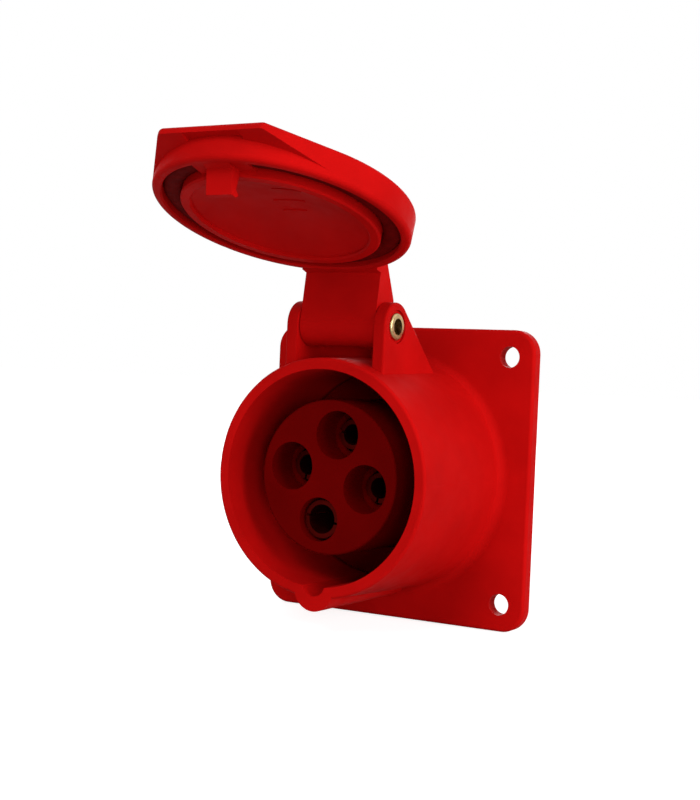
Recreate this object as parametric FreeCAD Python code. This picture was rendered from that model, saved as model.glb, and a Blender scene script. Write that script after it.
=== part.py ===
"""Industrial panel socket with a sprung, hinged lid: 16 A, three phases and earth.

Frame: millimetres. The panel lies in the plane y = 0, the socket faces -Y, +X is to
the right seen from the front and +Z is up. The origin is the centre of the four
fixing holes, on the back face of the flange. The lid is built closed, as a round cap
on the socket's axis, and is then swung open about its pin.
"""
import FreeCAD, Part
import math
import os

# Flange
flange_side = 75.0
flange_thickness = 3.5
flange_corner_radius = 6.0
flange_edge_radius = 0.8
fixing_edge_distance = 6.75
fixing_hole_radius = 2.65
seal_groove_margin = 2.4
seal_groove_width = 3.0
seal_groove_depth = 1.2

# Barrel
barrel_length = 41.5
bore_radius = 25.8
barrel_wall = 2.7
rim_edge_radius = 0.7
base_spread = 1.1
base_fillet = 2.2
keyway_half_width = 3.1
keyway_depth = 2.2
keyway_wall = 3.6
keyway_ridge_offset = 1.5
ledge_thickness = 4.0
rear_pocket_depth = 6.0
rear_pocket_clearance = 0.4

# Hinge
hinge_setback = 10.6
hinge_rise = 7.0
ear_radius = 5.8
ear_thickness = 3.1
ear_edge_radius = 0.6
ear_back_slope = 42.0
hinge_gap = 21.4
rivet_radius = 2.5
rivet_wall = 0.5
rivet_head_radius = 3.25
rivet_head_height = 0.75
rivet_head_roll = 0.5
rivet_seat_radius = 4.0
rivet_seat_depth = 0.55
ear_bore_clearance = 0.02
knuckle_bore_clearance = 0.07
knuckle_radius = 5.1
knuckle_side_clearance = 0.3

# Spring
spring_wire_radius = 0.4
spring_coil_clearance = 0.3
spring_turns = 5
spring_pitch = 1.0
spring_pocket_half_width = 4.6
spring_pocket_clearance = 0.5
rear_leg_angle = 60.0
rear_leg_length = 10.0
front_leg_angle = 40.0
spring_rest_wall = 2.5
spring_rest_gap = 0.1

# Lid
lid_open_angle = 108.7
lid_limit_angle = 120.0
lid_seat_gap = 0.3
lid_depth = 7.0
lid_overhang = 1.0
lid_edge_radius = 1.2
lip_wall = 2.3
lip_edge_radius = 1.2
groove_width = 4.4
groove_depth = 3.0
ring_width = 2.6
ring_proud = 0.7
ring_step = 0.9
ring_edge_radius = 0.4
bowl_depth = 3.1
panel_border = 7.0
panel_depth = 0.8
beak_overhang = 2.1
beak_half_width = 13.2
beak_corner_radius = 1.5
beak_roof = 1.8
beak_step = 0.3
thumb_half_width = 8.5
thumb_wall_slant = 1.5
arm_front_reach = 7.0
arm_wall = 1.6
arm_back_rise = 1.4
arm_back_run = 7.4
arm_shoulder_drop = 5.0
arm_shoulder_run = 14.5
arm_root_depth = 2.0
arm_root_radius = 2.0
arm_foot_step = 0.7
arm_foot_sink = 0.5
hook_half_width = 3.3
hook_thickness = 2.9
hook_clearance = 0.6
hook_height = 5.2
hook_tip_overhang = 1.3
hook_tip_height = 1.6
hook_tip_chamfer = 0.8
hook_top_width = 1.0
hook_root_sink = 0.5
hook_root_spread = 1.0
hook_foot_half_width = 7.0
hook_foot_drop = 0.6
gasket_height = 2.0
gasket_clearance = 0.1

# Contact carrier
carrier_recess = 4.5
skirt_gap = 7.25
carrier_clearance = 0.3
carrier_flange_width = 6.05
carrier_flange_thickness = 3.5
carrier_edge_radius = 0.6
contact_pitch_radius = 10.45
contact_turn = -11.6
phase_well_radius = 5.8
phase_well_depth = 9.0

# Contacts
phase_pin_radius = 2.5
earth_pin_radius = 3.5
pin_clearance = 0.05
sleeve_wall = 1.05
phase_sleeve_recess = 7.5
earth_sleeve_recess = 1.6
pin_bore_depth = 17.0
slit_width = 0.6
slit_length = 9.0
sleeve_gap = 0.7
collar_radius = 5.9
collar_clearance = 0.05
collar_pocket_depth = 5.5
clip_offset = 2.4
clip_width = 2.4
clip_thickness = 0.45

# Terminals
rear_screw_clearance = 0.35
rear_length = 18.5
rear_edge_radius = 1.0
post_radius = 4.3
post_length = 13.5
post_clearance = 0.25
wire_bore_radius = 2.15
wire_bore_depth = 9.0
wire_entry_radius = 3.5
terminal_height = 7.0
terminal_screw_radius = 1.9
terminal_screw_length = 3.4
terminal_head_radius = 3.0
terminal_head_height = 2.0
terminal_access_radius = 3.5
screw_hole_clearance = 0.1

# Screws of the carrier
clamp_screw_radius = 2.0
clamp_head_radius = 3.6
clamp_head_height = 2.6
clamp_head_sink = 3.2
clamp_thread_depth = 12.0
boss_angles = (22.5, 202.5)
boss_edge_distance = 2.4
boss_radius = 3.2
boss_height = 8.0
boss_floor = 1.6
boss_screw_radius = 1.5
boss_head_radius = 2.55
boss_head_height = 2.0
driver_slot_width = 0.8
driver_slot_depth = 0.9
screw_head_edge = 0.4
thread_spare = 1.0

# How far a cutting shape runs past the face that it cuts
beyond = 1.0

# Radii that follow from the sizes above
rim_outer_radius = bore_radius + barrel_wall
base_radius = rim_outer_radius + base_spread
seal_groove_radius = base_radius + seal_groove_margin
lid_lip_radius = rim_outer_radius + lid_overhang
groove_outer_radius = lid_lip_radius - lip_wall
ring_outer_radius = groove_outer_radius - groove_width
ring_inner_radius = ring_outer_radius - ring_width
panel_radius = lid_lip_radius - panel_border
hook_outer_radius = bore_radius - hook_clearance
hook_inner_radius = hook_outer_radius - hook_thickness
carrier_radius = bore_radius - skirt_gap
carrier_flange_radius = carrier_radius + carrier_flange_width
rear_pocket_radius = carrier_flange_radius + rear_pocket_clearance
boss_circle_radius = carrier_flange_radius - boss_edge_distance
rear_radius = boss_circle_radius - boss_head_radius - rear_screw_clearance

# Places that follow from the sizes above
rim_y = -barrel_length
hinge_y = rim_y + hinge_setback
hinge_z = lid_lip_radius + hinge_rise
lip_y = rim_y - lid_seat_gap
lid_outer_y = lip_y - lid_depth
face_y = rim_y + carrier_recess
pocket_floor_y = -rear_pocket_depth
ledge_y = pocket_floor_y - ledge_thickness
split_y = pocket_floor_y + carrier_flange_thickness
collar_seat_y = split_y - collar_pocket_depth
rear_end_y = split_y + rear_length
post_end_y = split_y + post_length
terminal_y = split_y + terminal_height
boss_top_y = ledge_y - boss_height
ear_inner_x = hinge_gap / 2
ear_outer_x = ear_inner_x + ear_thickness
ear_foot_z = math.sqrt(bore_radius ** 2 - (ear_outer_x + ear_thickness) ** 2)
arm_half_width = ear_inner_x - knuckle_side_clearance
arm_skin_lean = (arm_front_reach - knuckle_radius) / (hinge_y - lip_y)
coil_radius = rivet_radius + spring_coil_clearance + spring_wire_radius
spring_pocket_radius = coil_radius + spring_wire_radius + spring_pocket_clearance


def vec(x, y, z):
    return FreeCAD.Vector(x, y, z)


AXIS_X = vec(1, 0, 0)
AXIS_Y = vec(0, 1, 0)
HINGE = vec(0, hinge_y, hinge_z)
CONTACT_NAMES = ("contact_phase_1", "contact_phase_2", "contact_earth", "contact_phase_3")
EARTH = CONTACT_NAMES.index("contact_earth")


def cylinder_y(radius, y0, y1, x=0.0, z=0.0):
    """Round bar along Y from y0 to y1."""
    return Part.makeCylinder(radius, y1 - y0, vec(x, y0, z), AXIS_Y)


def ring_y(outer, inner, y0, y1, x=0.0, z=0.0):
    """Flat-ended tube along Y."""
    return cylinder_y(outer, y0, y1, x, z).cut(cylinder_y(inner, y0, y1, x, z))


def box(x0, x1, y0, y1, z0, z1):
    return Part.makeBox(x1 - x0, y1 - y0, z1 - z0, vec(x0, y0, z0))


def prism(points, travel):
    """Extrude a closed outline of corner points along a vector."""
    wire = Part.makePolygon(points + [points[0]])
    return Part.Face(wire).extrude(travel)


def turned(edges):
    """Revolve a closed outline, drawn in the XY plane, about the Y axis."""
    face = Part.Face(Part.Wire(edges))
    return face.revolve(vec(0, 0, 0), AXIS_Y, 360)


def chain(points):
    """Straight edges through (radius, y) points."""
    corners = [vec(r, y, 0) for r, y in points]
    return [Part.makeLine(a, b) for a, b in zip(corners, corners[1:])]


def arc(start, middle, end):
    """Arc edge through three (radius, y) points."""
    a, b, c = [vec(r, y, 0) for r, y in (start, middle, end)]
    return [Part.Arc(a, b, c).toShape()]


def on_arc(center, radius, degrees):
    """Point of a circle, in whichever plane the two coordinates lie."""
    turn = math.radians(degrees)
    return (center[0] + radius * math.cos(turn), center[1] + radius * math.sin(turn))


def edges_at_y(shape, y):
    """Edges of a shape that lie wholly in the plane at this y."""
    return [e for e in shape.Edges if all(abs(v.Point.y - y) < 1e-6 for v in e.Vertexes)]


def fillet_at_y(shape, y, radius):
    return shape.makeFillet(radius, edges_at_y(shape, y))


def contact_place(index):
    """Centre (x, z) of a contact: the first is at the top, the rest follow clockwise."""
    return on_arc((0.0, 0.0), contact_pitch_radius, 90.0 + contact_turn - 90.0 * index)


def flange():
    """Square plate with rounded corners, a softened front edge and four holes."""
    half = flange_side / 2
    plate = box(-half, half, -flange_thickness, 0, -half, half)
    corners = [e for e in plate.Edges if abs(e.tangentAt(e.FirstParameter).y) > 0.9]
    plate = plate.makeFillet(flange_corner_radius, corners)
    plate = fillet_at_y(plate, -flange_thickness, flange_edge_radius)
    hole = flange_side / 2 - fixing_edge_distance
    for x in (-hole, hole):
        for z in (-hole, hole):
            plate = plate.cut(cylinder_y(fixing_hole_radius, -flange_thickness - beyond, beyond, x, z))
    return plate


def barrel_outside():
    """Solid barrel, a little wider at its foot, which runs into the flange in a fillet."""
    foot_y = -flange_thickness
    centre = (base_radius + base_fillet, foot_y - base_fillet)
    front = (rim_outer_radius - rim_edge_radius, rim_y + rim_edge_radius)
    outline = chain([(0, 0), (0, rim_y), (rim_outer_radius - rim_edge_radius, rim_y)])
    outline += arc((front[0], rim_y), on_arc(front, rim_edge_radius, -45),
                   (rim_outer_radius, front[1]))
    outline += chain([(rim_outer_radius, front[1]), (base_radius, centre[1])])
    outline += arc((base_radius, centre[1]), on_arc(centre, base_fillet, 135),
                   (centre[0], foot_y))
    outline += chain([(centre[0], foot_y), (centre[0], 0), (0, 0)])
    return turned(outline)


def keyway_centre_z():
    return -(bore_radius + keyway_depth - keyway_half_width)


def keyway_bulge():
    """Rounded ridge under the barrel that carries the keyway."""
    radius = keyway_half_width + keyway_wall - keyway_ridge_offset
    return cylinder_y(radius, rim_y, -flange_thickness / 2, 0,
                      keyway_centre_z() - keyway_ridge_offset)


def ear_profile(x):
    """Ear outline: upright front edge, round top about the pin, sloping back edge."""
    centre = (hinge_y, hinge_z)
    back = on_arc(centre, ear_radius, 90.0 - ear_back_slope)
    run = (back[1] - ear_foot_z) / math.tan(math.radians(ear_back_slope))
    top = on_arc(centre, ear_radius, 110.0)
    front = vec(x, hinge_y - ear_radius, hinge_z)
    back_top = vec(x, back[0], back[1])
    foot_front = vec(x, hinge_y - ear_radius, ear_foot_z)
    foot_back = vec(x, back[0] + run, ear_foot_z)
    edges = [
        Part.makeLine(foot_front, front),
        Part.Arc(front, vec(x, top[0], top[1]), back_top).toShape(),
        Part.makeLine(back_top, foot_back),
        Part.makeLine(foot_back, foot_front),
    ]
    return Part.Face(Part.Wire(edges))


def ears():
    """Two hinge ears with soft outer edges and the seats of the rivet's ends."""
    solids = []
    for side in (-1, 1):
        x0 = side * ear_inner_x
        ear = ear_profile(x0).extrude(vec(side * ear_thickness, 0, 0))
        rim = [e for e in ear.Edges if abs(e.CenterOfMass.x - side * ear_outer_x) < 1e-6
               and e.CenterOfMass.z > ear_foot_z + 1e-6]
        ear = ear.makeFillet(ear_edge_radius, rim)
        seat_x = side * (ear_outer_x - rivet_seat_depth)
        seat = Part.makeCylinder(rivet_seat_radius, rivet_seat_depth + beyond,
                                 vec(seat_x, hinge_y, hinge_z), vec(side, 0, 0))
        bore = Part.makeCylinder(rivet_radius + ear_bore_clearance, ear_thickness + 2 * beyond,
                                 vec(x0 - side * beyond, hinge_y, hinge_z), vec(side, 0, 0))
        solids.append(ear.cut(seat).cut(bore))
    return solids


def leg_direction(exit_angle, sign):
    """Unit (y, z) vector of a spring leg that leaves the coil at this angle."""
    turn = math.radians(exit_angle + 90.0 * sign)
    return (math.cos(turn), math.sin(turn))


def spring_rest():
    """Cross wall between the ears. The spring's rear leg lies on its sloping top."""
    direction = leg_direction(rear_leg_angle, -1)
    start = on_arc((hinge_y, hinge_z), coil_radius, rear_leg_angle)
    end_y = start[0] + direction[0] * rear_leg_length
    drop = (spring_wire_radius + spring_rest_gap) / direction[0]

    def top_z(y):
        along = (y - start[0]) / direction[0]
        return start[1] + direction[1] * along - drop

    y1 = end_y
    y0 = end_y - spring_rest_wall
    outline = [vec(-ear_inner_x, y0, ear_foot_z), vec(-ear_inner_x, y0, top_z(y0)),
               vec(-ear_inner_x, y1, top_z(y1)), vec(-ear_inner_x, y1, ear_foot_z)]
    return prism(outline, vec(hinge_gap, 0, 0))


def front_leg_length():
    """Length at which the front leg just clears the arm's skin with the lid at its limit."""
    lean = math.degrees(math.atan(arm_skin_lean))
    normal = on_arc((0.0, 0.0), 1.0, 270.0 + lean - lid_limit_angle)
    skin = (knuckle_radius - arm_wall) * math.cos(math.radians(lean))
    start = on_arc((0.0, 0.0), coil_radius, front_leg_angle)
    direction = leg_direction(front_leg_angle, 1)
    room = skin - spring_wire_radius - spring_rest_gap
    room -= start[0] * normal[0] + start[1] * normal[1]
    return room / (direction[0] * normal[0] + direction[1] * normal[1])


def boss_place(angle):
    return on_arc((0.0, 0.0), boss_circle_radius, angle)


def housing():
    """Flange, barrel, ledge and hinge ears as one moulding."""
    body = flange().fuse(barrel_outside())
    body = body.fuse(keyway_bulge())
    body = body.fuse(ears() + [spring_rest()])
    body = body.cut(cylinder_y(bore_radius, rim_y - beyond, ledge_y))
    body = body.cut(cylinder_y(keyway_half_width, rim_y - beyond, ledge_y, 0, keyway_centre_z()))
    body = body.cut(cylinder_y(carrier_radius + carrier_clearance, ledge_y - beyond, beyond))
    body = body.cut(cylinder_y(rear_pocket_radius, pocket_floor_y, beyond))
    for angle in boss_angles:
        x, z = boss_place(angle)
        body = body.fuse(cylinder_y(boss_radius, boss_top_y, pocket_floor_y, x, z))
        body = body.cut(cylinder_y(boss_screw_radius, boss_top_y + boss_floor, beyond, x, z))
    inner = seal_groove_radius - seal_groove_width / 2
    outer = seal_groove_radius + seal_groove_width / 2
    body = body.cut(ring_y(outer, inner, -seal_groove_depth, beyond))
    return body.removeSplitter()


def flange_gasket():
    """Rubber ring that fills the groove in the back of the flange."""
    inner = seal_groove_radius - seal_groove_width / 2 + gasket_clearance
    outer = seal_groove_radius + seal_groove_width / 2 - gasket_clearance
    return ring_y(outer, inner, -seal_groove_depth, 0)


def beak_corners():
    """Right front corner of the beak, and where its side touches the lid's circle."""
    reach = lid_lip_radius + beak_overhang
    corner_turn = math.atan2(reach, beak_half_width)
    touch_turn = corner_turn - math.acos(lid_lip_radius / math.hypot(beak_half_width, reach))
    touch_x = lid_lip_radius * math.cos(touch_turn)
    touch_z = -lid_lip_radius * math.sin(touch_turn)
    return (beak_half_width, -reach), (touch_x, touch_z)


def lid_block():
    """Lid as one thick plate: a round outline that runs into the beak's flat front."""
    (corner_x, corner_z), (touch_x, touch_z) = beak_corners()
    right = vec(touch_x, lid_outer_y, touch_z)
    left = vec(-touch_x, lid_outer_y, touch_z)
    front_right = vec(corner_x, lid_outer_y, corner_z)
    front_left = vec(-corner_x, lid_outer_y, corner_z)
    top = vec(0, lid_outer_y, lid_lip_radius)
    outline = Part.Wire([Part.Arc(right, top, left).toShape(), Part.makeLine(left, front_left),
                         Part.makeLine(front_left, front_right),
                         Part.makeLine(front_right, right)])
    block = Part.Face(outline).extrude(vec(0, lid_depth, 0))
    corners = [e for e in block.Edges if abs(e.CenterOfMass.z - corner_z) < 1e-6
               and abs(e.tangentAt(e.FirstParameter).y) > 0.9]
    block = block.makeFillet(beak_corner_radius, corners)
    return fillet_at_y(block, lid_outer_y, lid_edge_radius)


def beak_underside():
    """Space under the beak: a slope that thins it to its front, and a flat thumb recess."""
    corner_z = beak_corners()[0][1]
    start_z = beak_corners()[1][1]
    step_y = lip_y - lip_edge_radius - beak_step
    roof_y = lid_outer_y + beak_roof
    wide = 2 * lid_lip_radius
    slope = prism([vec(-wide, lip_y, start_z), vec(-wide, lip_y, -wide),
                   vec(-wide, roof_y, -wide), vec(-wide, roof_y, corner_z),
                   vec(-wide, step_y, start_z)], vec(2 * wide, 0, 0))
    floor_half = thumb_half_width - thumb_wall_slant
    thumb = prism([vec(-floor_half, roof_y, 0), vec(floor_half, roof_y, 0),
                   vec(thumb_half_width, step_y, 0), vec(-thumb_half_width, step_y, 0)],
                  vec(0, 0, -wide))
    return slope.fuse(thumb).cut(cylinder_y(lid_lip_radius, lid_outer_y, lip_y))


def lid_inside():
    """Turned space round the lip: bowl and gasket groove inside it, its soft edges."""
    ring_y1 = lip_y + ring_proud
    bowl_edge_y = ring_y1 - ring_step
    bowl_y = bowl_edge_y - bowl_depth
    bowl_curve = (ring_inner_radius ** 2 + bowl_depth ** 2) / (2 * bowl_depth)
    bowl_turn = math.asin(ring_inner_radius / bowl_curve) / 2
    bowl_mid = (bowl_curve * math.sin(bowl_turn),
                bowl_y + bowl_curve * (1 - math.cos(bowl_turn)))
    groove_y = lip_y - groove_depth
    soft = ring_edge_radius
    edge_y = lip_y - lip_edge_radius
    edge_radius = lid_lip_radius - lip_edge_radius
    outline = arc((0, bowl_y), bowl_mid, (ring_inner_radius, bowl_edge_y))
    outline += chain([(ring_inner_radius, bowl_edge_y), (ring_inner_radius, ring_y1 - soft),
                      (ring_inner_radius + soft, ring_y1), (ring_outer_radius - soft, ring_y1),
                      (ring_outer_radius, ring_y1 - soft), (ring_outer_radius, groove_y),
                      (groove_outer_radius, groove_y), (groove_outer_radius, lip_y - soft),
                      (groove_outer_radius + soft, lip_y), (edge_radius, lip_y)])
    outline += arc((edge_radius, lip_y), on_arc((edge_radius, edge_y), lip_edge_radius, 45),
                   (lid_lip_radius, edge_y))
    outline += chain([(lid_lip_radius, edge_y), (2 * lid_lip_radius, edge_y),
                      (2 * lid_lip_radius, hinge_y), (0, hinge_y), (0, bowl_y)])
    return turned(outline)


def lid_panel():
    """Shallow round recess with a sloping edge in the lid's outer face."""
    floor_y = lid_outer_y + panel_depth
    return turned(chain([(0, lid_outer_y), (panel_radius, lid_outer_y),
                         (panel_radius - panel_depth, floor_y), (0, floor_y), (0, lid_outer_y)]))


def arm():
    """Arm and hinge knuckle of the lid, open at the top for the spring."""
    left = -arm_half_width
    width = 2 * arm_half_width
    foot_y = lid_outer_y + arm_foot_step
    lower_z = hinge_z - arm_front_reach
    outline = [
        (hinge_y, hinge_z - knuckle_radius),
        (lip_y, lower_z),
        (lip_y, lower_z - arm_root_depth),
        (foot_y, lower_z - arm_root_depth),
        (foot_y, lower_z - arm_foot_sink),
        (hinge_y - arm_shoulder_run, hinge_z - arm_shoulder_drop),
        (hinge_y - arm_back_run, hinge_z + arm_back_rise),
        on_arc((hinge_y, hinge_z), knuckle_radius, 90.0),
    ]
    body = prism([vec(left, y, z) for y, z in outline], vec(width, 0, 0))
    body = body.fuse(Part.makeCylinder(knuckle_radius, width, vec(left, hinge_y, hinge_z), AXIS_X))
    half = spring_pocket_half_width
    end_y = lip_y + arm_wall
    skin_z = hinge_z - knuckle_radius + arm_wall
    pocket_outline = [
        (hinge_y, skin_z),
        (end_y, skin_z - arm_skin_lean * (hinge_y - end_y)),
        (end_y, hinge_z + 2 * knuckle_radius),
        (hinge_y + 2 * knuckle_radius, hinge_z + 2 * knuckle_radius),
        (hinge_y + 2 * knuckle_radius, hinge_z),
        (hinge_y, hinge_z),
    ]
    pocket = prism([vec(-half, y, z) for y, z in pocket_outline], vec(2 * half, 0, 0))
    pocket = pocket.fuse(Part.makeCylinder(spring_pocket_radius, 2 * half,
                                           vec(-half, hinge_y, hinge_z), AXIS_X))
    bore = Part.makeCylinder(rivet_radius + knuckle_bore_clearance, width + 2 * beyond,
                             vec(left - beyond, hinge_y, hinge_z), AXIS_X)
    return body.cut(pocket).cut(bore)


def arm_root_fillets():
    """Fillets in the corners where the sides of the arm meet the lid's round wall."""
    centre_x = arm_half_width + arm_root_radius
    centre_z = math.sqrt((lid_lip_radius + arm_root_radius) ** 2 - centre_x ** 2)
    ratio = lid_lip_radius / (lid_lip_radius + arm_root_radius)
    inner_x = arm_half_width - beyond
    inner_z = (centre_z - beyond) * ratio
    y0 = lid_outer_y + lid_edge_radius
    y1 = lip_y - lip_edge_radius
    solids = []
    for side in (-1, 1):
        wedge = prism([vec(side * inner_x, y0, centre_z), vec(side * centre_x, y0, centre_z),
                       vec(side * centre_x * ratio, y0, centre_z * ratio),
                       vec(side * inner_x, y0, inner_z)], vec(0, y1 - y0, 0))
        solids.append(wedge.cut(cylinder_y(arm_root_radius, y0, y1, side * centre_x, centre_z)))
    return solids


def hook():
    """Catch at the lid's free end, which holds a plug's nose, on a foot across the groove."""
    top_y = lip_y + hook_height
    root_y = lip_y - groove_depth - hook_root_sink
    root_radius = groove_outer_radius + hook_root_spread
    inner = hook_inner_radius
    tip_radius = inner - hook_tip_overhang
    outline = [
        (root_y, inner),
        (top_y - hook_tip_height, inner),
        (top_y - hook_tip_chamfer, tip_radius),
        (top_y, tip_radius + hook_tip_chamfer),
        (top_y, inner + hook_top_width),
        (rim_y - lid_seat_gap / 2, hook_outer_radius),
        (lip_y - hook_root_sink, root_radius),
        (root_y, root_radius),
    ]
    stem = prism([vec(-hook_half_width, y, -radius) for y, radius in outline],
                 vec(2 * hook_half_width, 0, 0))
    foot_y = lip_y - hook_foot_drop
    foot = ring_y(root_radius, inner, root_y, foot_y)
    foot = foot.common(box(-hook_foot_half_width, hook_foot_half_width, root_y, foot_y,
                           -root_radius, 0))
    return stem.fuse(foot)


def open_lid(shape):
    """Swing a shape from the closed place to the open one."""
    turned_shape = shape.copy()
    turned_shape.rotate(HINGE, AXIS_X, -lid_open_angle)
    return turned_shape


def lid():
    """Cap with beak, catch and hinge arm as one moulding, swung open."""
    ring = cylinder_y(ring_outer_radius, lip_y - groove_depth, lip_y + ring_proud)
    body = lid_block().fuse(ring).cut(beak_underside())
    body = body.cut(lid_inside()).cut(lid_panel())
    body = body.fuse([arm(), hook()] + arm_root_fillets())
    return open_lid(body.removeSplitter())


def lid_gasket():
    """Flat rubber ring on the floor of the lid's groove, notched for the hook."""
    floor_y = lip_y - groove_depth
    gap = gasket_clearance
    ring = ring_y(groove_outer_radius - gap, ring_outer_radius + gap,
                  floor_y, floor_y + gasket_height)
    half = hook_foot_half_width + gap
    notch = box(-half, half, floor_y - beyond,
                floor_y + gasket_height + beyond,
                -lid_lip_radius, -ring_inner_radius)
    return open_lid(ring.cut(notch))


def hinge_rivet():
    """Tubular rivet through ears and knuckle, with a rolled rim at each end."""
    end_x = ear_outer_x - rivet_seat_depth
    tube = Part.makeCylinder(rivet_radius, 2 * end_x, vec(-end_x, hinge_y, hinge_z), AXIS_X)
    for side in (-1, 1):
        head = Part.makeCylinder(rivet_head_radius, rivet_head_height,
                                 vec(side * end_x, hinge_y, hinge_z), vec(side, 0, 0))
        rim_x = side * (end_x + rivet_head_height)
        rim = [e for e in head.Edges if abs(e.CenterOfMass.x - rim_x) < 1e-6]
        head = head.makeFillet(rivet_head_roll, rim)
        tube = tube.fuse(head)
    length = 2 * (end_x + rivet_head_height)
    hole = Part.makeCylinder(rivet_radius - rivet_wall, length + 2 * beyond,
                             vec(-length / 2 - beyond, hinge_y, hinge_z), AXIS_X)
    return tube.cut(hole).removeSplitter()


def lid_spring():
    """Torsion spring on the rivet: a rear leg on the cross wall, a front leg in the arm."""
    sweep = 360.0 * spring_turns + front_leg_angle - rear_leg_angle
    length = spring_pitch * sweep / 360.0
    helix = Part.makeHelix(spring_pitch, length, coil_radius)
    helix.rotate(vec(0, 0, 0), vec(0, 0, 1), rear_leg_angle)
    helix.rotate(vec(0, 0, 0), vec(1, 1, 1), 120)
    helix.translate(vec(-length / 2, hinge_y, hinge_z))
    rear_start = on_arc((hinge_y, hinge_z), coil_radius, rear_leg_angle)
    front_start = on_arc((hinge_y, hinge_z), coil_radius, front_leg_angle)
    rear = leg_direction(rear_leg_angle, -1)
    front = leg_direction(front_leg_angle, 1)
    coil_start = vec(-length / 2, rear_start[0], rear_start[1])
    coil_end = vec(length / 2, front_start[0], front_start[1])
    section = Part.Wire(Part.makeCircle(spring_wire_radius, coil_start,
                                        vec(0, -rear[0], -rear[1])))
    coil = Part.Wire(helix.Edges).makePipeShell([section], True, True)
    legs = [
        Part.makeCylinder(spring_wire_radius, rear_leg_length, coil_start, vec(0, *rear)),
        Part.makeCylinder(spring_wire_radius, front_leg_length(), coil_end, vec(0, *front)),
    ]
    return coil.fuse(legs).removeSplitter()


def sleeve_radii(index):
    """Bore and outside radius of a contact sleeve; the earth's is wider."""
    pin = earth_pin_radius if index == EARTH else phase_pin_radius
    return pin + pin_clearance, pin + pin_clearance + sleeve_wall


def sleeve_front_y(index):
    return face_y + (earth_sleeve_recess if index == EARTH else phase_sleeve_recess)


def carrier_front():
    """Insulating column with the four contact wells and its fixing flange."""
    column = cylinder_y(carrier_radius, face_y, split_y)
    column = fillet_at_y(column, face_y, carrier_edge_radius)
    column = column.fuse(cylinder_y(carrier_flange_radius, pocket_floor_y, split_y))
    for index in range(4):
        x, z = contact_place(index)
        if index != EARTH:
            column = column.cut(cylinder_y(phase_well_radius, face_y - beyond,
                                           face_y + phase_well_depth, x, z))
        guide = sleeve_radii(index)[1] + sleeve_gap
        column = column.cut(cylinder_y(guide, face_y - beyond, collar_seat_y, x, z))
        shank = sleeve_radii(index)[1] + collar_clearance
        column = column.cut(cylinder_y(shank, face_y, split_y, x, z))
        column = column.cut(cylinder_y(collar_radius + collar_clearance,
                                       collar_seat_y, split_y + beyond, x, z))
    for angle in boss_angles:
        x, z = boss_place(angle)
        hole = boss_screw_radius + screw_hole_clearance
        column = column.cut(cylinder_y(hole, pocket_floor_y - beyond, split_y + beyond, x, z))
    thread = cylinder_y(clamp_screw_radius, split_y - clamp_thread_depth, split_y + beyond)
    return column.cut(thread).removeSplitter()


def radial_cylinder(index, radius, start, end, y):
    """Round bar that points outward from a contact's axis, square to Y."""
    x, z = contact_place(index)
    outward = vec(x, 0, z).normalize()
    return Part.makeCylinder(radius, end - start, vec(x, y, z) + outward * start, outward)


def carrier_rear():
    """Terminal half of the carrier: chambers, wire entries and screw access holes."""
    block = cylinder_y(rear_radius, split_y, rear_end_y)
    block = fillet_at_y(block, rear_end_y, rear_edge_radius)
    for index in range(4):
        x, z = contact_place(index)
        chamber = post_radius + post_clearance
        block = block.cut(cylinder_y(chamber, split_y - beyond, post_end_y + post_clearance, x, z))
        block = block.cut(cylinder_y(wire_entry_radius, split_y, rear_end_y + beyond, x, z))
        block = block.cut(radial_cylinder(index, terminal_access_radius, 0,
                                          rear_radius, terminal_y))
    hole = clamp_screw_radius + screw_hole_clearance
    block = block.cut(cylinder_y(hole, split_y - beyond, rear_end_y + beyond))
    return block.cut(cylinder_y(clamp_head_radius + screw_hole_clearance,
                                rear_end_y - clamp_head_sink, rear_end_y + beyond))


def contact(index):
    """Slotted pin sleeve, collar and terminal post, turned from one bar."""
    x, z = contact_place(index)
    bore, outside = sleeve_radii(index)
    front_y = sleeve_front_y(index)
    body = cylinder_y(outside, front_y, split_y, x, z)
    body = body.fuse(cylinder_y(collar_radius, collar_seat_y + collar_clearance,
                                split_y - collar_clearance, x, z))
    body = body.fuse(cylinder_y(post_radius, split_y - collar_clearance, post_end_y, x, z))
    body = body.cut(cylinder_y(bore, front_y - beyond, front_y + pin_bore_depth, x, z))
    body = body.cut(cylinder_y(wire_bore_radius, post_end_y - wire_bore_depth,
                               post_end_y + beyond, x, z))
    slit = box(-outside - beyond, outside + beyond, front_y - beyond, front_y + slit_length,
               -slit_width / 2, slit_width / 2)
    slit.rotate(vec(0, 0, 0), AXIS_Y, -math.degrees(math.atan2(z, x)) + 90)
    slit.translate(vec(x, 0, z))
    body = body.cut(slit)
    thread = radial_cylinder(index, terminal_screw_radius, 0, post_radius + beyond, terminal_y)
    return body.cut(thread).removeSplitter()


def contact_clip(index):
    """Split spring-steel ring that keeps the slotted sleeve tight on the pin."""
    x, z = contact_place(index)
    outside = sleeve_radii(index)[1] + pin_clearance
    start_y = sleeve_front_y(index) + clip_offset
    ring = ring_y(outside + clip_thickness, outside, start_y, start_y + clip_width, x, z)
    gap = box(0, outside + 2 * beyond,
              start_y - beyond, start_y + clip_width + beyond,
              -slit_width, slit_width)
    gap.rotate(vec(0, 0, 0), AXIS_Y, -math.degrees(math.atan2(z, x)))
    gap.translate(vec(x, 0, z))
    return ring.cut(gap)


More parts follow.
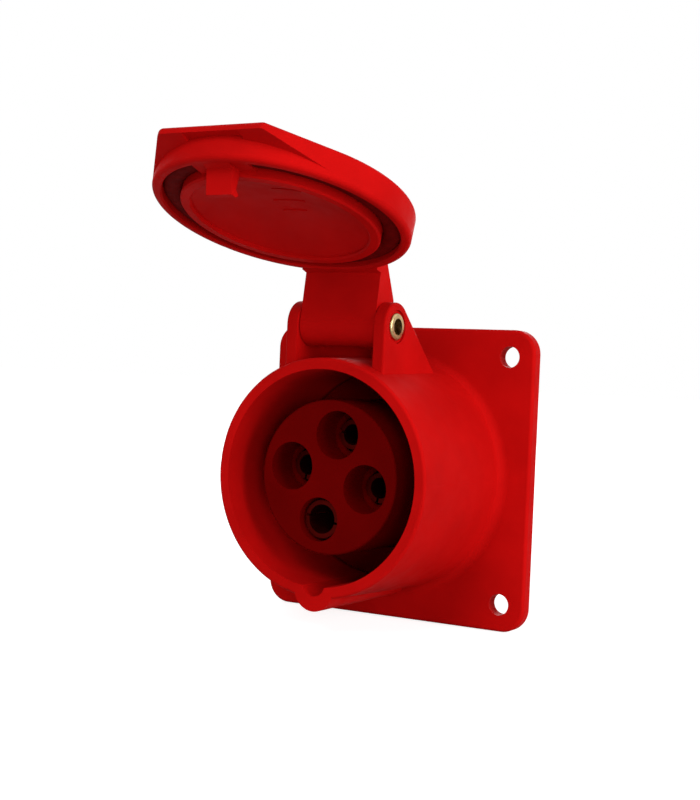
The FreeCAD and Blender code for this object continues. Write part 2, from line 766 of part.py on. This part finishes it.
def slotted_screw(shank_radius, shank_length, head_radius, head_height):
    """Cheese-head screw along +Y: shank from y = 0 back to -length, head in front."""
    shank = cylinder_y(shank_radius, -shank_length, 0)
    head = cylinder_y(head_radius, 0, head_height)
    head = fillet_at_y(head, head_height, screw_head_edge)
    slot = box(-head_radius - beyond, head_radius + beyond, head_height - driver_slot_depth,
               head_height + beyond, -driver_slot_width / 2, driver_slot_width / 2)
    return shank.fuse(head.cut(slot)).removeSplitter()


def terminal_screw(index):
    """Clamping screw that enters a terminal post from the carrier's side."""
    screw = slotted_screw(terminal_screw_radius, terminal_screw_length,
                          terminal_head_radius, terminal_head_height)
    x, z = contact_place(index)
    outward = vec(x, 0, z).normalize()
    screw.Placement = FreeCAD.Placement(
        vec(x, terminal_y, z) + outward * (post_radius + post_clearance),
        FreeCAD.Rotation(AXIS_Y, outward))
    return screw


def clamp_screw():
    """Central screw that holds the two halves of the carrier together."""
    seat_y = rear_end_y - clamp_head_sink
    length = seat_y - split_y + clamp_thread_depth - thread_spare
    screw = slotted_screw(clamp_screw_radius, length, clamp_head_radius, clamp_head_height)
    screw.translate(vec(0, seat_y, 0))
    return screw


def carrier_screw(angle):
    """Screw through the carrier's flange into a boss on the housing's ledge."""
    x, z = boss_place(angle)
    length = split_y - (boss_top_y + boss_floor) - thread_spare
    screw = slotted_screw(boss_screw_radius, length, boss_head_radius, boss_head_height)
    screw.translate(vec(x, split_y, z))
    return screw


def parts():
    """Every node by name."""
    nodes = {
        "housing": housing(),
        "flange_gasket": flange_gasket(),
        "lid": lid(),
        "lid_gasket": lid_gasket(),
        "hinge_rivet": hinge_rivet(),
        "lid_spring": lid_spring(),
        "carrier_front": carrier_front(),
        "carrier_rear": carrier_rear(),
        "clamp_screw": clamp_screw(),
    }
    for number, angle in enumerate(boss_angles, start=1):
        nodes["carrier_screw_%d" % number] = carrier_screw(angle)
    for index, name in enumerate(CONTACT_NAMES):
        nodes[name] = contact(index)
        nodes[name.replace("contact", "clip")] = contact_clip(index)
        nodes[name.replace("contact", "terminal_screw")] = terminal_screw(index)
    return nodes


os.makedirs("parts", exist_ok=True)
for node_name, shape in parts().items():
    shape.exportStep("parts/%s.step" % node_name)
    print(node_name, "solids", len(shape.Solids), "valid", shape.isValid(),
          "volume", round(shape.Volume, 1))
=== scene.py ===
"""Looks of an industrial panel socket: camera, light, materials and fine detail.

Everything is in metres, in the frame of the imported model: the socket faces -Y, +Z is up
and the origin is the centre of the fixing holes on the back face of the flange.
"""

import math

import bmesh
import bpy
from mathutils import Matrix, Vector


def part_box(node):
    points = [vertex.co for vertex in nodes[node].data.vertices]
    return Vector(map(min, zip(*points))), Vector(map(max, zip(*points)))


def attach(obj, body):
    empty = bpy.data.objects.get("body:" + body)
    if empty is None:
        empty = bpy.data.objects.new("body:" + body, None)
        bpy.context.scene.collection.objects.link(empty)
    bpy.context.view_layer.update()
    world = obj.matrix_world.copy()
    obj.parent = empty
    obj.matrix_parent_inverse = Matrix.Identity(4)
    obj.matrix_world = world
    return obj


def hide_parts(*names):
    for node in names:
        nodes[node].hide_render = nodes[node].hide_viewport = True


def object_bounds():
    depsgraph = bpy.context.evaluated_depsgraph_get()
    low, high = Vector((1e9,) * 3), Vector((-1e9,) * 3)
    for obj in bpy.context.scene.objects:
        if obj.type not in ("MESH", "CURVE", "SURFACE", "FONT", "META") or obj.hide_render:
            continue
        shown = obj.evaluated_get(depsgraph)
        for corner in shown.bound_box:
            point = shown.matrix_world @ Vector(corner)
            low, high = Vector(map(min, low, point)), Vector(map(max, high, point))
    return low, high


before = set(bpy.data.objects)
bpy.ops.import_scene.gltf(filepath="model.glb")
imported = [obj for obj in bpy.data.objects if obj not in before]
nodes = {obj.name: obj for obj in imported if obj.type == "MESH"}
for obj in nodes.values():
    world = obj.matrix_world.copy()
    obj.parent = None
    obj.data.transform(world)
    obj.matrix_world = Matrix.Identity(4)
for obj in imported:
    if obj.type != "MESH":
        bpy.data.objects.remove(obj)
cad_low, cad_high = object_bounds()

# The photograph's viewpoint, found from the flange, its holes, the rim and the lid
IMAGE_LONG_SIDE = 800
CAMERA_FOCAL_PIXELS = 1438.0
CAMERA_PLACE = Vector((0.17740, -0.33009, 0.02533))
CAMERA_AZIMUTH = math.radians(30.43)
CAMERA_ELEVATION = math.radians(1.11)
CAMERA_ROLL = math.radians(2.49)
SENSOR_WIDTH = 36.0
CLIP_START = 0.01
CLIP_END = 20.0

# The floor glows for the camera, so that it is white but keeps a soft shadow near the socket
FLOOR_HALF_WIDTH = 6.0
FLOOR_GAP = 0.0002
FLOOR_GREY = 0.55
FLOOR_ROUGHNESS = 0.9
FLOOR_GLOW_NEAR = 0.84
FLOOR_GLOW_FAR = 1.0
FLOOR_NEAR_DISTANCE = 0.12
FLOOR_FAR_DISTANCE = 0.30

# Studio: name, place, size and watts of each lamp, all aimed at one point, and the soft world
LAMP_TARGET = (0.0, -0.02, 0.02)
LAMPS = (
    ("key", (0.88, -0.12, 0.20), 0.6, 5.7),
    ("front", (0.05, -0.80, 0.60), 0.5, 3.7),
    ("low_front", (0.60, -0.75, 0.04), 0.2, 1.6),
    ("back", (-0.35, 0.85, 0.35), 0.5, 2.5),
)
WORLD_STRENGTH = 0.32

# Weak reflection of plastic and rubber, tinted by the red below it
SHEEN_TINT = (1.0, 0.12, 0.10, 1.0)
PLASTIC_SHEEN = 0.025
RUBBER_SHEEN = 0.03

# Shares of red, green and blue that are left where the plastic and the rubber are darkest
PLASTIC_DRIFT = (0.82, 0.8, 0.8)
RUBBER_DRIFT = (0.7, 0.7, 0.7)

# Hinge of the lid, and the turn that swings a closed lid open
HINGE = Vector((0.0, -0.0309, 0.0365))
LID_OPEN = math.radians(108.7)
OPEN_LID = (Matrix.Translation(HINGE) @ Matrix.Rotation(-LID_OPEN, 4, "X")
            @ Matrix.Translation(-HINGE))

# Contacts: the mouths of the sleeves and the clips get a painted dark red shade, for the shade in
# the wells and the red plastic the metal reflects there; the terminals at the back keep the
# metal's colour
SLEEVE_PAINTED_SHADE = (0.08, 0.003, 0.002)
SHADED_Y = -0.020
UNSHADED_Y = -0.006

# Front of the ledge at the bottom of the bore: painted shade darkens the housing's colour there,
# inside this radius
LEDGE_RADIUS = 0.0262
BORE_BRIGHT_Y = -0.0125
LEDGE_SHADED_Y = -0.0105
LEDGE_FADE_Y = -0.0085
LEDGE_BACK_Y = -0.0070
LEDGE_SHADE = 0.3

# Spring on the rivet
SPRING_WIRE_RADIUS = 0.0004
SPRING_COIL_RADIUS = 0.0032
SPRING_TURNS = 5
SPRING_PITCH = 0.001
REAR_LEG_ANGLE = math.radians(60.0)
REAR_LEG_LENGTH = 0.010
FRONT_LEG_ANGLE = math.radians(40.0)
COIL_STEPS_PER_TURN = 40

# Share of the seal's height at which its sides turn into the dome
SEAL_SIDE_SHARE = 0.55

# Fineness and shading of the added meshes
SHARP_EDGE_ANGLE = math.radians(40.0)
WIRE_ROUNDNESS = 4
RING_STEPS = 180
DOME_STEPS = 14
STROKE_STEPS = 24

# Plain strokes in the lid's bowl: middle, distance towards the free end, and length
STROKES = ((0.0075, 0.0108, 0.0078), (0.0035, 0.0034, 0.0085), (0.0020, -0.0018, 0.0063))
STROKE_WIDTH = 0.0008
STROKE_HEIGHT = 0.00025

# Section of a stroke: offset in half widths, and rise in stroke heights
STROKE_SECTION = ((-1.0, -0.5), (-0.8, 1.0), (0.8, 1.0), (1.0, -0.5))

# Width at the very tip of a stroke, as a share of its full width
STROKE_TIP_SHARE = 0.2


def make_camera():
    """Camera at the photograph's viewpoint."""
    azimuth, elevation = CAMERA_AZIMUTH, CAMERA_ELEVATION
    ahead = Vector((-math.sin(azimuth) * math.cos(elevation),
                    math.cos(azimuth) * math.cos(elevation), -math.sin(elevation)))
    level = Vector((math.cos(azimuth), math.sin(azimuth), 0.0))
    upward = level.cross(ahead)
    cosine, sine = math.cos(CAMERA_ROLL), math.sin(CAMERA_ROLL)
    right = cosine * level + sine * upward
    up = cosine * upward - sine * level
    turn = Matrix((right, up, -ahead)).transposed()
    data = bpy.data.cameras.new("camera")
    data.sensor_width = SENSOR_WIDTH
    data.lens = SENSOR_WIDTH * CAMERA_FOCAL_PIXELS / IMAGE_LONG_SIDE
    data.clip_start = CLIP_START
    data.clip_end = CLIP_END
    camera = bpy.data.objects.new("camera", data)
    camera.matrix_world = Matrix.Translation(CAMERA_PLACE) @ turn.to_4x4()
    bpy.context.scene.collection.objects.link(camera)
    bpy.context.scene.camera = camera


class NodeTree:
    """A node tree with short calls for the nodes used here."""

    def __init__(self, tree):
        self.tree = tree

    def add(self, kind, **settings):
        node = self.tree.nodes.new(kind)
        for key, value in settings.items():
            setattr(node, key, value)
        return node

    def link(self, output, socket):
        self.tree.links.new(output, socket)

    def combine(self, operation, first, second):
        """Output that joins two outputs, by an operation such as MAXIMUM or MULTIPLY."""
        node = self.add("ShaderNodeMath", operation=operation)
        self.link(first, node.inputs[0])
        self.link(second, node.inputs[1])
        return node.outputs["Value"]

    def seen_by(self, *rays):
        """1 for the named kinds of ray, such as Camera, and 0 for all others."""
        path = self.add("ShaderNodeLightPath")
        result, *others = [path.outputs["Is %s Ray" % ray] for ray in rays]
        for other in others:
            result = self.combine("MAXIMUM", result, other)
        return result


class Shader(NodeTree):
    """A material with the nodes of its finish, in metres of the socket's frame."""

    def __init__(self, name):
        self.material = bpy.data.materials.new(name)
        self.material.use_nodes = True
        super().__init__(self.material.node_tree)
        self.surface = self.tree.nodes["Principled BSDF"]
        self.place = self.add("ShaderNodeTexCoord").outputs["Object"]

    def noise(self, scale, detail=2.0, roughness=0.5, stretch=None):
        """Noise with features of about 1 / scale metres."""
        node = self.add("ShaderNodeTexNoise")
        node.inputs["Scale"].default_value = scale
        node.inputs["Detail"].default_value = detail
        node.inputs["Roughness"].default_value = roughness
        place = self.place
        if stretch:
            mapping = self.add("ShaderNodeMapping")
            mapping.inputs["Scale"].default_value = stretch
            self.link(place, mapping.inputs["Vector"])
            place = mapping.outputs["Vector"]
        self.link(place, node.inputs["Vector"])
        return node.outputs["Fac"]

    def spread(self, value, low, high, start=0.3, end=0.7):
        """Map a value from start to end, which is noise's usual range, onto low to high."""
        node = self.add("ShaderNodeMapRange")
        node.inputs["From Min"].default_value = start
        node.inputs["From Max"].default_value = end
        node.inputs["To Min"].default_value = low
        node.inputs["To Max"].default_value = high
        self.link(value, node.inputs["Value"])
        return node.outputs["Result"]

    def blend(self, factor, first, second):
        """Colour that runs from the first to the second with the factor."""
        node = self.add("ShaderNodeMix", data_type="RGBA")
        node.inputs["A"].default_value = (*first, 1.0)
        node.inputs["B"].default_value = (*second, 1.0)
        self.link(factor, node.inputs["Factor"])
        return node.outputs["Result"]

    def depth(self, start_y, end_y):
        """Value that runs from 0 at start_y to 1 at end_y."""
        axes = self.add("ShaderNodeSeparateXYZ")
        self.link(self.place, axes.inputs["Vector"])
        return self.spread(axes.outputs["Y"], 0.0, 1.0, start_y, end_y)

    def paint_front_shade(self, colour, front_shade):
        """Colour output that runs from a painted dark shade at the front to the given colour
        further back.
        """
        node = self.add("ShaderNodeMix", data_type="RGBA")
        node.inputs["A"].default_value = (*front_shade, 1.0)
        self.link(self.depth(SHADED_Y, UNSHADED_Y), node.inputs["Factor"])
        self.link(colour, node.inputs["B"])
        return node.outputs["Result"]

    def paint_ledge_shade(self, colour):
        """Colour output with painted shade on the front of the ledge: darker inside a radius
        about the Y axis.
        """
        across = self.add("ShaderNodeVectorMath", operation="MULTIPLY")
        across.inputs[1].default_value = (1.0, 0.0, 1.0)
        self.link(self.place, across.inputs[0])
        radius = self.add("ShaderNodeVectorMath", operation="LENGTH")
        self.link(across.outputs["Vector"], radius.inputs[0])
        inside = self.add("ShaderNodeMath", operation="LESS_THAN")
        inside.inputs[1].default_value = LEDGE_RADIUS
        self.link(radius.outputs["Value"], inside.inputs[0])
        band = self.combine("MULTIPLY", self.depth(BORE_BRIGHT_Y, LEDGE_SHADED_Y),
                            self.depth(LEDGE_BACK_Y, LEDGE_FADE_Y))
        level = self.spread(self.combine("MULTIPLY", band, inside.outputs["Value"]),
                            1.0, LEDGE_SHADE, 0.0, 1.0)
        shaded = self.add("ShaderNodeVectorMath", operation="SCALE")
        self.link(colour, shaded.inputs[0])
        self.link(level, shaded.inputs["Scale"])
        return shaded.outputs["Vector"]

    def bump(self, height, distance, strength=1.0, after=None):
        """Normal output that raises the surface by a value, by at most distance metres."""
        node = self.add("ShaderNodeBump")
        node.inputs["Strength"].default_value = strength
        node.inputs["Distance"].default_value = distance
        self.link(height, node.inputs["Height"])
        if after:
            self.link(after, node.inputs["Normal"])
        return node.outputs["Normal"]

    def finish(self, colour, roughness, normal=None):
        """Plug the outputs into the surface and hand over the material."""
        self.link(colour, self.surface.inputs["Base Color"])
        self.link(roughness, self.surface.inputs["Roughness"])
        if normal:
            self.link(normal, self.surface.inputs["Normal"])
        return self.material


def tinted_sheen(shader, level):
    """Weak surface reflection that keeps the red of the body below it."""
    shader.surface.inputs["Specular IOR Level"].default_value = level
    shader.surface.inputs["Specular Tint"].default_value = SHEEN_TINT


def moulded_plastic(name, colour, roughness, grain, with_ledge_shade=False):
    """Moulded plastic: fine spark-eroded grain, slight colour drift and dull patches."""
    shader = Shader(name)
    tinted_sheen(shader, PLASTIC_SHEEN)
    darker = [part * share for part, share in zip(colour, PLASTIC_DRIFT)]
    drift = shader.spread(shader.noise(scale=70.0, detail=4.0), 0.0, 1.0)
    patches = shader.spread(shader.noise(scale=260.0, detail=3.0),
                            roughness - 0.05, roughness + 0.06)
    waves = shader.bump(shader.noise(scale=160.0, detail=1.0), distance=0.00012, strength=0.35)
    fine = shader.bump(shader.noise(scale=4200.0, roughness=0.6), distance=grain, after=waves)
    shade = shader.blend(drift, colour, darker)
    # Painted shade on the front of the ledge, deep in the bore
    if with_ledge_shade:
        shade = shader.paint_ledge_shade(shade)
    return shader.finish(shade, patches, fine)


def soft_rubber(name, colour):
    """Dull rubber with a fine, uneven skin."""
    shader = Shader(name)
    tinted_sheen(shader, RUBBER_SHEEN)
    darker = [part * share for part, share in zip(colour, RUBBER_DRIFT)]
    drift = shader.spread(shader.noise(scale=400.0, detail=3.0), 0.0, 1.0)
    rough = shader.spread(shader.noise(scale=900.0), 0.6, 0.75)
    fine = shader.bump(shader.noise(scale=6000.0), distance=0.00002)
    return shader.finish(shader.blend(drift, colour, darker), rough, fine)


def turned_metal(name, colour, roughness, tarnish, front_shade=None):
    """Metal with fine tool marks and a patchy tarnish, and a painted dark red shade at its front
    if asked.
    """
    shader = Shader(name)
    dull = [part * tarnish for part in colour]
    drift = shader.spread(shader.noise(scale=500.0, detail=4.0), 0.0, 1.0)
    shade = shader.blend(drift, colour, dull)
    # Painted shade and red reflection at the front, where the metal lies deep in the wells
    if front_shade:
        shade = shader.paint_front_shade(shade, front_shade)
    rough = shader.spread(shader.noise(scale=900.0, detail=3.0),
                          roughness - 0.07, roughness + 0.12)
    marks = shader.bump(shader.noise(scale=2500.0, stretch=(1.0, 6.0, 1.0)), distance=0.000015)
    shader.surface.inputs["Metallic"].default_value = 1.0
    return shader.finish(shade, rough, marks)


def make_materials():
    """Every finish of the socket, by name."""
    return {
        # The housing's plastic carries the painted shade on the ledge in the bore
        "red_plastic": moulded_plastic("red_plastic", (0.54, 0.0042, 0.004), 0.5, 0.000012,
                                       with_ledge_shade=True),
        # The insert's red is darker than the housing's: painted shade of the recess it sits in
        "red_insert": moulded_plastic("red_insert", (0.14, 0.0008, 0.0006), 0.6, 0.000018),
        "seal_rubber": soft_rubber("seal_rubber", (0.15, 0.003, 0.003)),
        "rivet_brass": turned_metal("rivet_brass", (0.72, 0.52, 0.24), 0.28, 0.6),
        # The contacts and clips carry a painted dark red shade at their front, deep in the wells
        "contact_brass": turned_metal("contact_brass", (0.62, 0.48, 0.27), 0.5, 0.6,
                                      SLEEVE_PAINTED_SHADE),
        "clip_steel": turned_metal("clip_steel", (0.50, 0.49, 0.46), 0.5, 0.8, SLEEVE_PAINTED_SHADE),
        "plated_steel": turned_metal("plated_steel", (0.62, 0.61, 0.58), 0.33, 0.8),
    }


def finish_of(name):
    """Finish of a node."""
    if name in ("housing", "lid"):
        return "red_plastic"
    if name in ("carrier_front", "carrier_rear"):
        return "red_insert"
    if name.endswith("gasket"):
        return "seal_rubber"
    if name == "hinge_rivet":
        return "rivet_brass"
    if name.startswith("contact"):
        return "contact_brass"
    if name.startswith("clip"):
        return "clip_steel"
    return "plated_steel"


def dress_nodes():
    """Give every node of the model its material."""
    for name, node in nodes.items():
        node.data.materials.clear()
        node.data.materials.append(materials[finish_of(name)])


def add_mesh(name, vertices, faces, finish, body):
    """A smooth-shaded piece of the scene that moves with a body."""
    mesh = bpy.data.meshes.new(name)
    mesh.from_pydata(vertices, [], faces)
    mesh.validate()
    shell = bmesh.new()
    shell.from_mesh(mesh)
    bmesh.ops.recalc_face_normals(shell, faces=shell.faces)
    shell.to_mesh(mesh)
    shell.free()
    mesh.shade_smooth()
    mesh.set_sharp_from_angle(angle=SHARP_EDGE_ANGLE)
    mesh.materials.append(materials[finish])
    piece = bpy.data.objects.new(name, mesh)
    bpy.context.scene.collection.objects.link(piece)
    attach(piece, body)
    return piece


def add_wire(name, points, radius, finish, body):
    """Round wire through a list of points."""
    data = bpy.data.curves.new(name, "CURVE")
    data.dimensions = "3D"
    data.bevel_depth = radius
    data.bevel_resolution = WIRE_ROUNDNESS
    data.use_fill_caps = True
    spline = data.splines.new("POLY")
    spline.points.add(len(points) - 1)
    for target, point in zip(spline.points, points):
        target.co = (*point, 1.0)
    data.materials.append(materials[finish])
    wire = bpy.data.objects.new(name, data)
    bpy.context.scene.collection.objects.link(wire)
    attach(wire, body)
    return wire


def swept_faces(count, steps):
    """Faces of a closed section of this many corners, swept in steps, with both ends closed."""
    faces = [tuple(range(count)), tuple(range(steps * count, (steps + 1) * count))]
    for step in range(steps):
        start, end = step * count, (step + 1) * count
        for index in range(count):
            after = (index + 1) % count
            faces.append((start + index, start + after, end + after, end + index))
    return faces


def coil_point(x, angle):
    """Point of the spring's coil, at this angle about the rivet."""
    return HINGE + Vector((x, SPRING_COIL_RADIUS * math.cos(angle),
                           SPRING_COIL_RADIUS * math.sin(angle)))


def make_spring():
    """Coil and rear leg, which stay with the socket, and the front leg, which follows the lid."""
    sweep = 2 * math.pi * SPRING_TURNS + FRONT_LEG_ANGLE - REAR_LEG_ANGLE
    length = SPRING_PITCH * sweep / (2 * math.pi)
    steps = COIL_STEPS_PER_TURN * SPRING_TURNS
    coil = [coil_point(length * (step / steps - 0.5), REAR_LEG_ANGLE + sweep * step / steps)
            for step in range(steps + 1)]
    rear = Vector((0.0, math.sin(REAR_LEG_ANGLE), -math.cos(REAR_LEG_ANGLE)))
    coil.insert(0, coil[0] + rear * REAR_LEG_LENGTH)
    low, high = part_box("lid_spring")
    front = Vector((0.0, -math.sin(FRONT_LEG_ANGLE), math.cos(FRONT_LEG_ANGLE)))
    reach = (high.z - SPRING_WIRE_RADIUS * abs(front.y) - coil[-1].z) / front.z
    still = add_wire("spring_coil", coil, SPRING_WIRE_RADIUS, "plated_steel", "socket")
    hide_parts("lid_spring")
    leg = [coil[-1], coil[-1] + front * reach]
    add_wire("spring_front_leg", leg, SPRING_WIRE_RADIUS, "plated_steel", "lid")


def closed_corners(name):
    """Vertices of a lid piece, turned back to where they are when the lid is closed."""
    back = OPEN_LID.inverted()
    return [back @ vertex.co for vertex in nodes[name].data.vertices]


def make_lid_gasket():
    """Rubber ring of the lid with a domed face, open where the catch stands."""
    corners = closed_corners("lid_gasket")
    radii = [math.hypot(corner.x, corner.z) for corner in corners]
    inner, outer = min(radii), max(radii)
    floor_y = min(corner.y for corner in corners)
    crest_y = max(corner.y for corner in corners)
    notch = min(abs(corner.x) for corner in corners if corner.z < -inner / 2)
    side_y = floor_y + SEAL_SIDE_SHARE * (crest_y - floor_y)
    middle, half_width = (inner + outer) / 2, (outer - inner) / 2
    profile = [(inner, floor_y)]
    for step in range(DOME_STEPS + 1):
        angle = math.pi * (1 - step / DOME_STEPS)
        profile.append((middle + half_width * math.cos(angle),
                        side_y + (crest_y - side_y) * math.sin(angle)))
    profile.append((outer, floor_y))
    vertices = []
    for step in range(RING_STEPS + 1):
        for radius, y in profile:
            gap = math.asin(notch / radius)
            angle = -math.pi / 2 + gap + (2 * math.pi - 2 * gap) * step / RING_STEPS
            place = Vector((radius * math.cos(angle), y, radius * math.sin(angle)))
            vertices.append(OPEN_LID @ place)
    faces = swept_faces(len(profile), RING_STEPS)
    ring = add_mesh("lid_seal_ring", vertices, faces, "seal_rubber", "lid")
    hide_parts("lid_gasket")


def bowl_y(x, z):
    """Height of the closed lid's inner face at this place, found on the lid's own surface."""
    lid = nodes["lid"]
    start = OPEN_LID @ Vector((x, HINGE.y, z))
    ahead = OPEN_LID.to_3x3() @ Vector((0.0, -1.0, 0.0))
    hit, place = lid.ray_cast(start, ahead)[:2]
    if not hit:
        raise ValueError("no bowl under the stroke at %g, %g" % (x, z))
    return (OPEN_LID.inverted() @ place).y


def make_strokes():
    """Plain raised strokes in the bowl, with rounded ends, that follow its curve."""
    for number, (middle_x, row, length) in enumerate(STROKES, start=1):
        vertices = []
        for step in range(STROKE_STEPS + 1):
            along = length * (step / STROKE_STEPS - 0.5)
            from_end = length / 2 - abs(along)
            round_part = min(1.0, from_end / (STROKE_WIDTH / 2))
            round_share = math.sqrt(max(STROKE_TIP_SHARE ** 2, 1 - (1 - round_part) ** 2))
            half = STROKE_WIDTH / 2 * round_share
            x = middle_x + along
            base = bowl_y(x, -row)
            for offset, rise in STROKE_SECTION:
                place = Vector((x, base + STROKE_HEIGHT * rise, -row + half * offset))
                vertices.append(OPEN_LID @ place)
        faces = swept_faces(len(STROKE_SECTION), STROKE_STEPS)
        add_mesh("lid_stroke_%d" % number, vertices, faces, "red_plastic", "lid")


def make_world():
    """World that lights softly but is white wherever it is seen or reflected."""
    world = bpy.data.worlds.new("studio")
    world.use_nodes = True
    tree = NodeTree(world.node_tree)
    background = world.node_tree.nodes["Background"]
    background.inputs["Color"].default_value = (1.0, 1.0, 1.0, 1.0)
    level = tree.add("ShaderNodeMapRange")
    level.inputs["To Min"].default_value = WORLD_STRENGTH
    level.inputs["To Max"].default_value = 1.0
    tree.link(tree.seen_by("Camera", "Transmission", "Glossy"), level.inputs["Value"])
    tree.link(level.outputs["Result"], background.inputs["Strength"])
    bpy.context.scene.world = world


def make_floor():
    """Pale floor under the flange: it takes a shadow and is near white where seen."""
    mesh = bpy.data.meshes.new("floor")
    ways = ((-1, -1), (1, -1), (1, 1), (-1, 1))
    corners = [(x * FLOOR_HALF_WIDTH, y * FLOOR_HALF_WIDTH, cad_low.z - FLOOR_GAP)
               for x, y in ways]
    mesh.from_pydata(corners, [], [(0, 1, 2, 3)])
    floor = bpy.data.objects.new("floor", mesh)
    bpy.context.scene.collection.objects.link(floor)
    shader = Shader("floor")
    shader.surface.inputs["Base Color"].default_value = (FLOOR_GREY, FLOOR_GREY, FLOOR_GREY, 1.0)
    shader.surface.inputs["Roughness"].default_value = FLOOR_ROUGHNESS
    shader.surface.inputs["Specular IOR Level"].default_value = 0.0
    far = shader.add("ShaderNodeVectorMath", operation="LENGTH")
    shader.link(shader.place, far.inputs[0])
    level = shader.spread(far.outputs["Value"], FLOOR_GLOW_NEAR, FLOOR_GLOW_FAR,
                          FLOOR_NEAR_DISTANCE, FLOOR_FAR_DISTANCE)
    glow = shader.combine("MULTIPLY", shader.seen_by("Camera", "Transmission"), level)
    shader.surface.inputs["Emission Color"].default_value = (1.0, 1.0, 1.0, 1.0)
    shader.link(glow, shader.surface.inputs["Emission Strength"])
    mesh.materials.append(shader.material)


def area_lamp(name, place, size, power):
    """Round soft lamp that is aimed at the socket."""
    data = bpy.data.lights.new(name, "AREA")
    data.shape = "DISK"
    data.size = size
    data.energy = power
    lamp = bpy.data.objects.new(name, data)
    aim = (Vector(LAMP_TARGET) - Vector(place)).to_track_quat("-Z", "Y")
    lamp.matrix_world = Matrix.Translation(place) @ aim.to_matrix().to_4x4()
    bpy.context.scene.collection.objects.link(lamp)


def make_light():
    """Soft studio light: the world and four lamps."""
    make_world()
    for lamp in LAMPS:
        area_lamp(*lamp)


make_camera()
materials = make_materials()
dress_nodes()
make_spring()
make_lid_gasket()
make_strokes()
make_floor()
make_light()
bpy.context.scene.view_settings.view_transform = "Standard"
